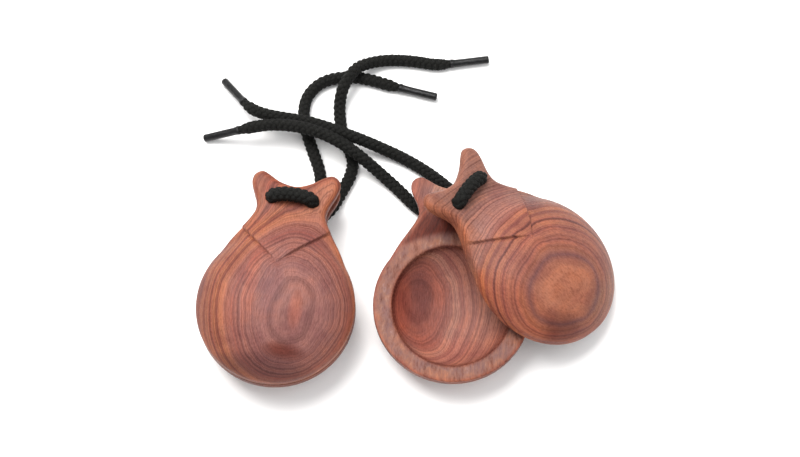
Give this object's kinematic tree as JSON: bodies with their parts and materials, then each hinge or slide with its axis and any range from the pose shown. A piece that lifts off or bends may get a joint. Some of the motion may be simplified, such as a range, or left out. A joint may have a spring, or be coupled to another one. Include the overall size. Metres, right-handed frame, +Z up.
{
  "type": "castanets",
  "caption": "Castanets: hollowed hardwood shells with waisted necks and eared ends, laced face to face on braided cords with hard tips.",
  "frame": {"origin": "on the surface the castanets lie on, below the middle of the box round the shells (the free cords left out)", "axes": "+Z up from the surface, +Y from the cups towards the ears of the closed castanet, +X from the closed castanet to the fanned one"},
  "size_m": [0.1752, 0.1539, 0.0381],
  "materials": {
    "rosewood": "satin, striped grain",
    "braided_cord": "woven",
    "cord_tip": "glossy film"
  },
  "bodies": {
    "left_lower": {"left_lower_shell": "rosewood", "left_cord_tail_a": "braided_cord", "left_cord_tail_b": "braided_cord", "left_cord_tip_a": "cord_tip", "left_cord_tip_b": "cord_tip"},
    "left_link": {"left_cord_link_a": "braided_cord", "left_cord_link_b": "braided_cord"},
    "left_upper": {"left_upper_shell": "rosewood", "left_cord_bridge": "braided_cord"},
    "right_lower": {"right_lower_shell": "rosewood", "right_cord_tail_a": "braided_cord", "right_cord_tail_b": "braided_cord", "right_cord_tip_a": "cord_tip", "right_cord_tip_b": "cord_tip"},
    "right_link": {"right_cord_link_a": "braided_cord", "right_cord_link_b": "braided_cord"},
    "right_upper": {"right_upper_shell": "rosewood", "right_cord_bridge": "braided_cord"}
  },
  "joints": [
    {"name": "left_swivel", "type": "hinge", "parent": "left_lower", "child": "left_link", "pos_m": [-0.04729, 0.0279, 0.01765], "axis": [0, 0, 1], "range_deg": [-50, 8], "deforming": ["left_cord_link_a", "left_cord_link_b"]},
    {"name": "left_clap", "type": "hinge", "parent": "left_link", "child": "left_upper", "pos_m": [-0.04945, 0.01195, 0.01765], "axis": [-0.991, 0.134, 0], "range_deg": [0, 11]},
    {"name": "right_lift", "type": "slide", "parent": "left_lower", "child": "right_lower", "axis": [0, 0, 1], "range_m": [0, 0.08]},
    {"name": "right_close", "type": "hinge", "parent": "right_lower", "child": "right_link", "pos_m": [0.02403, 0.02989, 0.0178], "axis": [0.086, 0.4167, 0.905], "range_deg": [-58.6, 0], "deforming": ["right_cord_link_a", "right_cord_link_b"]},
    {"name": "right_clap", "type": "hinge", "parent": "right_link", "child": "right_upper", "pos_m": [0.02248, 0.02856, 0.02399], "axis": [-0.5501, -0.7683, 0.3272], "range_deg": [0, 11]}
  ]
}
